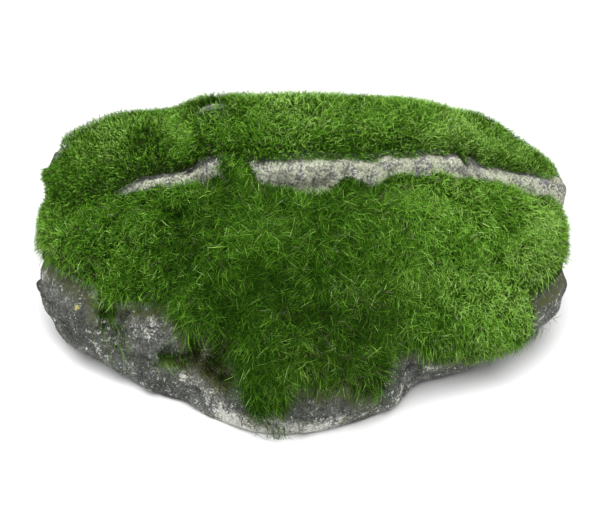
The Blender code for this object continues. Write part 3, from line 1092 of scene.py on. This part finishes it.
def build_strands(name, which, grid, count, length, seed, finish):
    """A mat's strands in pieces of a bounded size. Density = presence past the clearances x (1 -
    thin patches) x more on the front. Length = a random one x hem growth x ledge share x side
    share."""
    inside = grid["in_" + which]
    shape = inside.shape
    directions = grid["directions"].reshape(-1, 3)
    bridge = np.exp(-((apart(directions, *BRIDGE[:2]) / BRIDGE[2]) ** 4)).reshape(shape)
    thin = np.clip(1 - patches(directions, THIN_PATCHES), 0, 1).reshape(shape)
    azimuth = angles(leaning(directions))[0].reshape(shape)
    waver = EDGE_WAVER * lattice_noise(grid["places"].reshape(-1, 3), 0.006, 97).reshape(shape)
    if which == "crown":
        clear = grid["above"] + waver - round_the_stone(azimuth, CROWN_CLEARANCE, 1)
        present = smooth_step(clear / 0.002 + 0.5)
        spots = off_the_spots(directions, grid["stepped"].ravel()).reshape(shape)
        present = present * smooth_step((spots + waver - SPOT_CLEARANCE) / 0.002 + 0.5)
    else:
        clear = grid["below"] + waver - round_the_stone(azimuth, FLANK_CLEARANCE, 1)
        present = smooth_step(clear / 0.002 + 0.5)
        present = present * smooth_step((grid["over_hem"] - HEM_CLEARANCE) / 0.003 + 0.5)
        present = present * (1 - 0.4 * np.clip(1 - grid["over_hem"] / HEM_BAND, 0, 1))
    present = np.maximum(present, bridge * (inside > -0.012))
    front = 1 + 0.35 * smooth_step(0.5 - grid["normal"][..., 1] + 0.3 * grid["normal"][..., 2])
    found, seeded = scattered(grid, present * thin * front, count, seed)
    edge = np.clip(1 - found["over_hem"] / HEM_BAND, 0, 1) if which == "flank" else np.zeros(count)
    headed = unitised(found["directions"])
    depth = found[which + "_depth"]
    if which == "crown":
        depth = depth * crown_taper(found["above"])
    depth = np.maximum(np.maximum(depth, merged_depth(headed)) + patches(headed, DEPTH_PATCHES), 0.0016)
    found["top"] = seeded.uniform(0, 1, count) < TOP_SHARE
    from_ledge = np.clip(found["above" if which == "crown" else "below"] / LEDGE_BAND, 0, 1)
    in_front = smooth_step((angles(headed)[0] - FRONT_HEM_START) / 12)
    growth = HEM_GROWTH + (FRONT_HEM_GROWTH - HEM_GROWTH) * in_front
    lengths = seeded.uniform(*length, count) * (1 + (growth - 1) * edge) * (0.5 + 0.5 * from_ledge)
    lengths = lengths * (1 - SIDE_SHORTENING * smooth_step((np.abs(headed[:, 0]) - SIDE_START) / 0.25))
    lengths = lengths * np.where(found["top"], TOP_GROWTH, 1)
    tones = CROWN_TONES if which == "crown" else FLANK_TONES
    tint, tone = strand_looks(found, seeded, count, tones, HEM_BROWN * edge)
    tone = tone * (1 - 0.15 * edge)
    if which == "crown":
        # Painted light beside the ledge's upper edge.
        tone = np.minimum(tone * (1 + PAINTED_EDGE_LIGHT * np.exp(-((found["above"] / 0.022) ** 2))), 1)
    width = (CROWN_WIDTH if which == "crown" else FLANK_WIDTH) * seeded.uniform(0.75, 1.2, count)
    width = width * np.where(found["top"], TOP_GROWTH, 1)
    made = 0
    for layer, bends in ((found["top"], 2), (~found["top"], 0)):
        chosen = np.flatnonzero(layer)
        picked = {key: value[chosen] for key, value in found.items()}
        stations, side = strand_paths(picked, seeded, depth[chosen], lengths[chosen], edge[chosen], bends)
        pieces = math.ceil(len(chosen) * (2 * bends + 1) / TRIANGLES_PER_PIECE)
        for share in np.array_split(np.arange(len(chosen)), pieces):
            made += 1
            own = chosen[share]
            path = [station[share] for station in stations]
            mesh = ribbon_mesh(path, side[share], width[own], tint[own], tone[own], seeded)
            new_piece(f"{name}_{made}", *mesh, finish, which + "_moss", "moss")


def build_tufts(finish, seed):
    """Stray tufts: each strand's direction = its tuft's middle + a bell-shaped spread of half the
    reach."""
    seeded = np.random.default_rng(seed)
    *columns, strands = zip(*TUFTS)
    azimuth, elevation, reach, dead = (np.repeat(column, strands) for column in columns)
    count = len(azimuth)
    a = np.radians(azimuth + seeded.normal(0, 0.5, count) * reach)
    e = np.radians(elevation + seeded.normal(0, 0.5, count) * reach)
    directions = np.stack((np.sin(a) * np.cos(e), -np.cos(a) * np.cos(e), np.sin(e)), axis=1)
    field = fields(directions)
    found = {
        "directions": directions,
        "places": CORE + SHIFT + directions * weathered_radius(directions, field)[:, None],
        "normal": directions + np.array((0, -0.4, 0)),
        "top": np.ones(count, bool),
    }
    depth = np.full(count, STRAY_TUFT_DEPTH)
    lengths = seeded.uniform(*STRAY_TUFT_LENGTH, count)
    stations, side = strand_paths(found, seeded, depth, lengths, np.full(count, 0.8), 1)
    tint, tone = strand_looks(found, seeded, count, CROWN_TONES, dead)
    # Painted light: the tufts reach high on the root-to-tip ramp against the shade they hang in under the
    # hem.
    tone = np.minimum(tone * 2 + 0.4, 1)
    width = FLANK_WIDTH * seeded.uniform(0.9, 1.4, count)
    mesh = ribbon_mesh(stations, side, width, tint, tone, seeded)
    new_piece("stray_tufts", *mesh, finish, "flank_moss", "moss")


# -------- floor, light and camera
def build_floor():
    """A plain pale floor that curves up into a backdrop far behind: height = rise x smooth step of
    the depth."""
    x, y = np.meshgrid(np.linspace(-6, 6, 25), np.linspace(-4, 8, 49))
    z = 3.0 * smooth_step((y - 3) / 5)
    places = np.stack((x, y, z), axis=-1).reshape(-1, 3)
    row, column = np.meshgrid(np.arange(48), np.arange(24), indexing="ij")
    first = (row * 25 + column).ravel()
    corners = np.stack((first, first + 1, first + 26, first + 25), axis=1)
    mesh = bpy.data.meshes.new("floor")
    mesh.from_pydata(places.tolist(), [], corners.tolist())
    m = Mixer("pale_floor", 0.9, 0.1)
    tone = m.blend(m.noise(0.6, 2, 0.5), (0.86, 0.86, 0.86), (0.89, 0.89, 0.89))
    mesh.materials.append(m.colour(tone))
    floor = bpy.data.objects.new("floor", mesh)
    bpy.context.scene.collection.objects.link(floor)


def add_softbox(name, place, target, size, power):
    """A round soft light that looks from its place to its target."""
    light = bpy.data.lights.new(name, "AREA")
    light.shape = "DISK"
    light.size = size
    light.energy = power
    lamp = bpy.data.objects.new(name, light)
    lamp.location = place
    lamp.rotation_euler = (Vector(target) - Vector(place)).to_track_quat("-Z", "Y").to_euler()
    bpy.context.scene.collection.objects.link(lamp)


def light_studio():
    world = bpy.data.worlds.new("studio")
    world.use_nodes = True
    sky = world.node_tree.nodes["Background"]
    sky.inputs["Color"].default_value = (1, 1, 1, 1)
    sky.inputs["Strength"].default_value = 0.36
    bpy.context.scene.world = world
    add_softbox("overhead", (0.0, -0.40, 1.6), (0, 0, 0.05), 2.0, 57)
    add_softbox("front_fill", (-0.9, -1.5, 1.2), (0, 0, 0.08), 0.8, 5)
    bpy.context.scene.view_settings.view_transform = "Standard"


def place_camera():
    """Looks down by 38 degrees at the middle of the object from one metre."""
    target = Vector((0, 0, 0.07)) + Vector(SHIFT)
    tilt = math.radians(38)
    lens = bpy.data.cameras.new("camera")
    lens.sensor_width = 36
    lens.lens = 93.53
    camera = bpy.data.objects.new("camera", lens)
    camera.location = target + Vector((0, -math.cos(tilt), math.sin(tilt)))
    camera.rotation_euler = (math.radians(90) - tilt, 0, 0)
    bpy.context.scene.collection.objects.link(camera)
    bpy.context.scene.camera = camera


def dress():
    """Makes the finishes and every visible piece."""
    stone, bed, strand = weathered_stone(), moss_bed(), moss_strand()
    build_stone(stone)
    build_bed("crown_bed", CROWN_BED_GRID, "crown", bed)
    build_bed("flank_bed", FLANK_BED_GRID, "flank", bed)
    grid = field_grid()
    build_strands("crown_strands", "crown", grid, CROWN_STRANDS, CROWN_LENGTH, 101, strand)
    build_strands("flank_strands", "flank", grid, FLANK_STRANDS, FLANK_LENGTH, 102, strand)
    build_tufts(strand, 103)


dress()
build_floor()
light_studio()
place_camera()
